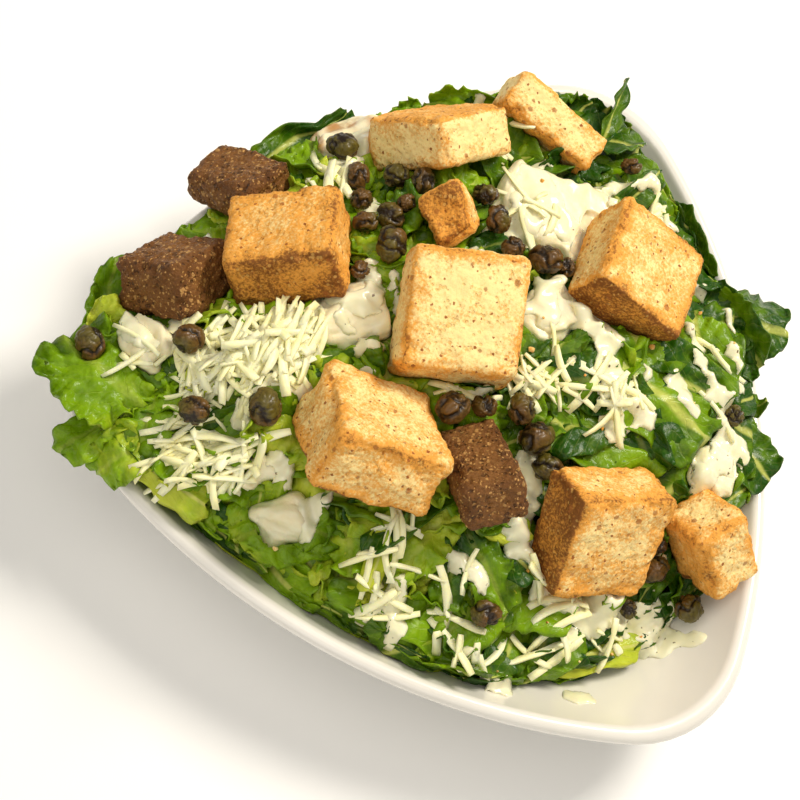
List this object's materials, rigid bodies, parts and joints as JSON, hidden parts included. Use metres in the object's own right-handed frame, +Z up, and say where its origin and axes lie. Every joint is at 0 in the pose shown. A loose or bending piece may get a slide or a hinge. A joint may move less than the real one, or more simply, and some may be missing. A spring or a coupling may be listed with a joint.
{
  "type": "caesar salad",
  "caption": "Caesar salad heaped in a rounded three-cornered white dish: chopped romaine, chicken, toasted pale and dark croutons, capers and creamy dressing.",
  "frame": {"origin": "on the table, under the middle of the dish", "axes": "+Z up; -Y towards the side the salad is looked at from; one corner of the dish points to +Y"},
  "size_m": [0.1928, 0.1898, 0.0822],
  "materials": {
    "glaze": "smooth white glaze",
    "romaine": "moist leaf, lightly glossy",
    "pale_bread": "dry toasted crumb with browned edges",
    "dark_bread": "dry dark rye crumb",
    "chicken": "moist and fibrous, coated in dressing",
    "caper": "wrinkled, moist"
  },
  "bodies": {
    "root": {"dish": "glaze", "lettuce_heap": "romaine", "crouton_pale_1": "pale_bread", "crouton_pale_2": "pale_bread", "crouton_pale_3": "pale_bread", "crouton_pale_4": "pale_bread", "crouton_pale_5": "pale_bread", "crouton_pale_6": "pale_bread", "crouton_pale_7": "pale_bread", "crouton_pale_8": "pale_bread", "crouton_pale_9": "pale_bread", "crouton_dark_1": "dark_bread", "crouton_dark_2": "dark_bread", "crouton_dark_3": "dark_bread", "chicken_1": "chicken", "chicken_2": "chicken", "chicken_3": "chicken", "chicken_4": "chicken", "chicken_5": "chicken", "chicken_6": "chicken", "chicken_7": "chicken", "chicken_8": "chicken", "caper_1": "caper", "caper_2": "caper", "caper_3": "caper", "caper_4": "caper", "caper_5": "caper", "caper_6": "caper", "caper_7": "caper", "caper_8": "caper", "caper_9": "caper", "caper_10": "caper", "caper_11": "caper", "caper_12": "caper", "caper_13": "caper", "caper_14": "caper", "caper_15": "caper", "caper_16": "caper", "caper_17": "caper", "caper_18": "caper", "caper_19": "caper", "caper_20": "caper", "caper_21": "caper", "caper_22": "caper", "caper_23": "caper", "caper_24": "caper", "caper_25": "caper", "caper_26": "caper", "caper_27": "caper", "caper_28": "caper", "caper_29": "caper", "caper_30": "caper", "caper_31": "caper"}
  },
  "joints": []
}
